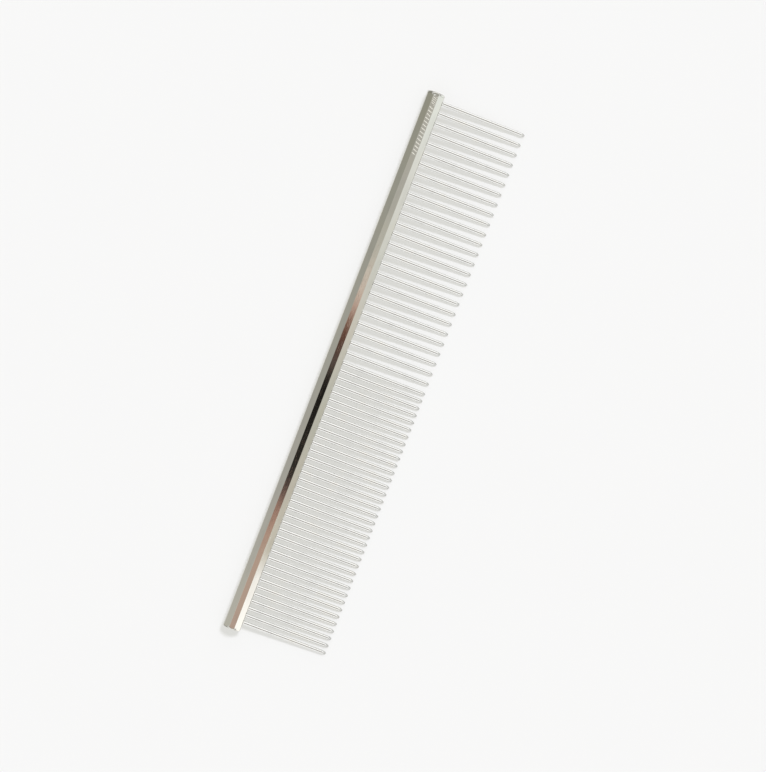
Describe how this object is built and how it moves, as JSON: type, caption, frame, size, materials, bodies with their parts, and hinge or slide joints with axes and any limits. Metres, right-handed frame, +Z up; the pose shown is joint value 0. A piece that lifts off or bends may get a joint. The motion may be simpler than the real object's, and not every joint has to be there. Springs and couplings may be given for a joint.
{
  "type": "steel grooming comb",
  "caption": "Straight steel pet comb: an octagonal bar with one row of round-tipped pins, widely spaced in one half and closely spaced in the other.",
  "frame": {"origin": "centre of the comb's bounding box, on the level surface that the comb lies on", "axes": "+X along the bar, towards the widely spaced end; -Y the way the teeth point; +Z up from the surface. The comb leans 4.4 degrees about X, with the bar on one edge of its under flat and the teeth on their tips, as it lies on a table"},
  "size_m": [0.19, 0.0354, 0.0062],
  "materials": {
    "plated_bar": "bright nickel plate, buffed, with fine lengthwise polishing marks",
    "plated_teeth": "bright nickel plate, buffed, smooth"
  },
  "bodies": {
    "root": {"spine_bar": "plated_bar", "coarse_tooth_01": "plated_teeth", "coarse_tooth_02": "plated_teeth", "coarse_tooth_03": "plated_teeth", "coarse_tooth_04": "plated_teeth", "coarse_tooth_05": "plated_teeth", "coarse_tooth_06": "plated_teeth", "coarse_tooth_07": "plated_teeth", "coarse_tooth_08": "plated_teeth", "coarse_tooth_09": "plated_teeth", "coarse_tooth_10": "plated_teeth", "coarse_tooth_11": "plated_teeth", "coarse_tooth_12": "plated_teeth", "coarse_tooth_13": "plated_teeth", "coarse_tooth_14": "plated_teeth", "coarse_tooth_15": "plated_teeth", "coarse_tooth_16": "plated_teeth", "coarse_tooth_17": "plated_teeth", "coarse_tooth_18": "plated_teeth", "coarse_tooth_19": "plated_teeth", "coarse_tooth_20": "plated_teeth", "coarse_tooth_21": "plated_teeth", "coarse_tooth_22": "plated_teeth", "coarse_tooth_23": "plated_teeth", "coarse_tooth_24": "plated_teeth", "coarse_tooth_25": "plated_teeth", "coarse_tooth_26": "plated_teeth", "coarse_tooth_27": "plated_teeth", "fine_tooth_01": "plated_teeth", "fine_tooth_02": "plated_teeth", "fine_tooth_03": "plated_teeth", "fine_tooth_04": "plated_teeth", "fine_tooth_05": "plated_teeth", "fine_tooth_06": "plated_teeth", "fine_tooth_07": "plated_teeth", "fine_tooth_08": "plated_teeth", "fine_tooth_09": "plated_teeth", "fine_tooth_10": "plated_teeth", "fine_tooth_11": "plated_teeth", "fine_tooth_12": "plated_teeth", "fine_tooth_13": "plated_teeth", "fine_tooth_14": "plated_teeth", "fine_tooth_15": "plated_teeth", "fine_tooth_16": "plated_teeth", "fine_tooth_17": "plated_teeth", "fine_tooth_18": "plated_teeth", "fine_tooth_19": "plated_teeth", "fine_tooth_20": "plated_teeth", "fine_tooth_21": "plated_teeth", "fine_tooth_22": "plated_teeth", "fine_tooth_23": "plated_teeth", "fine_tooth_24": "plated_teeth", "fine_tooth_25": "plated_teeth", "fine_tooth_26": "plated_teeth", "fine_tooth_27": "plated_teeth", "fine_tooth_28": "plated_teeth", "fine_tooth_pair_01": "plated_teeth", "fine_tooth_pair_02": "plated_teeth", "fine_tooth_pair_03": "plated_teeth", "fine_tooth_pair_04": "plated_teeth"}
  },
  "joints": []
}
